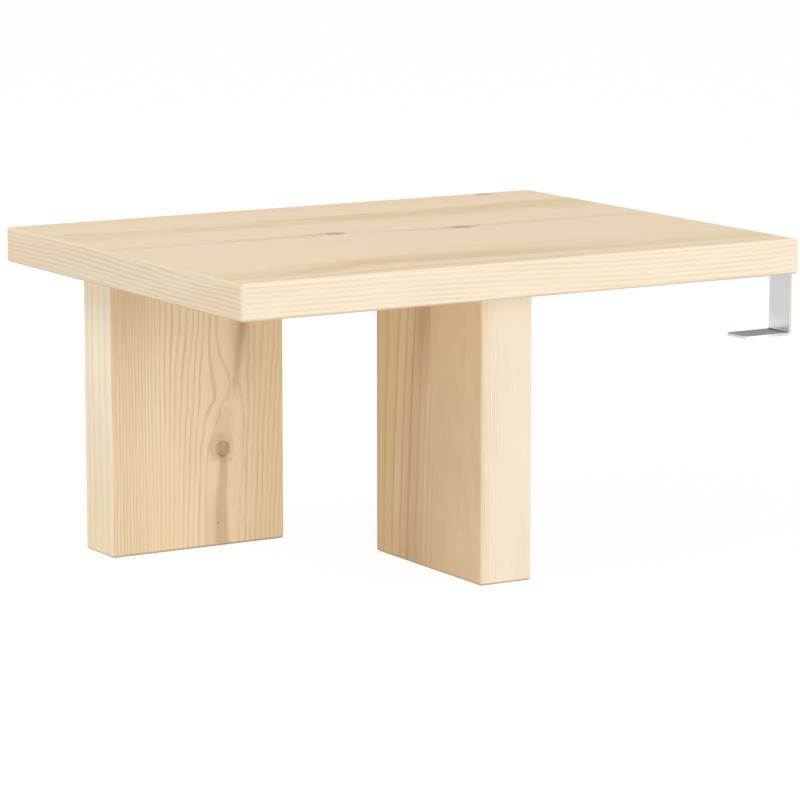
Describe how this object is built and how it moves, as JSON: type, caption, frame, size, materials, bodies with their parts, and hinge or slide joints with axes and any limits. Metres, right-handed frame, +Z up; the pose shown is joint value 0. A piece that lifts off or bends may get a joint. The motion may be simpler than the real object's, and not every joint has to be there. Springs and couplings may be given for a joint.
{
  "type": "nightstand",
  "caption": "Low pine bedside table on offset board legs, with bent steel hooks under one end that hold the board of a bed frame.",
  "frame": {"origin": "on the floor, under the middle of the top", "axes": "+Z up, +X along the length of the top towards the hook brackets, -Y to the front, where the narrow face of the front leg looks"},
  "size_m": [0.45, 0.35, 0.235],
  "materials": {
    "pine": "satin clear lacquer over pale pine",
    "pine_lipping": "satin clear lacquer over pale pine",
    "dowel_beech": "raw turned beech",
    "plated_steel": "bright zinc plated",
    "cast_zinc": "dull die-cast zinc",
    "hook_steel": "satin bright steel"
  },
  "bodies": {
    "root": {"top_board": "pine", "end_lipping_left": "pine_lipping", "end_lipping_right": "pine_lipping", "rear_leg": "pine", "front_leg": "pine", "rear_leg_dowel_left": "dowel_beech", "rear_leg_dowel_right": "dowel_beech", "front_leg_dowel_front": "dowel_beech", "front_leg_dowel_rear": "dowel_beech", "rear_leg_cam_bolt_left": "plated_steel", "rear_leg_cam_bolt_right": "plated_steel", "front_leg_cam_bolt_front": "plated_steel", "front_leg_cam_bolt_rear": "plated_steel", "rear_leg_cam_lock_left": "cast_zinc", "rear_leg_cam_lock_right": "cast_zinc", "front_leg_cam_lock_front": "cast_zinc", "front_leg_cam_lock_rear": "cast_zinc", "hook_bracket_front": "hook_steel", "hook_bracket_rear": "hook_steel", "hook_screw_front_inner": "plated_steel", "hook_screw_front_outer": "plated_steel", "hook_screw_rear_inner": "plated_steel", "hook_screw_rear_outer": "plated_steel"}
  },
  "joints": []
}
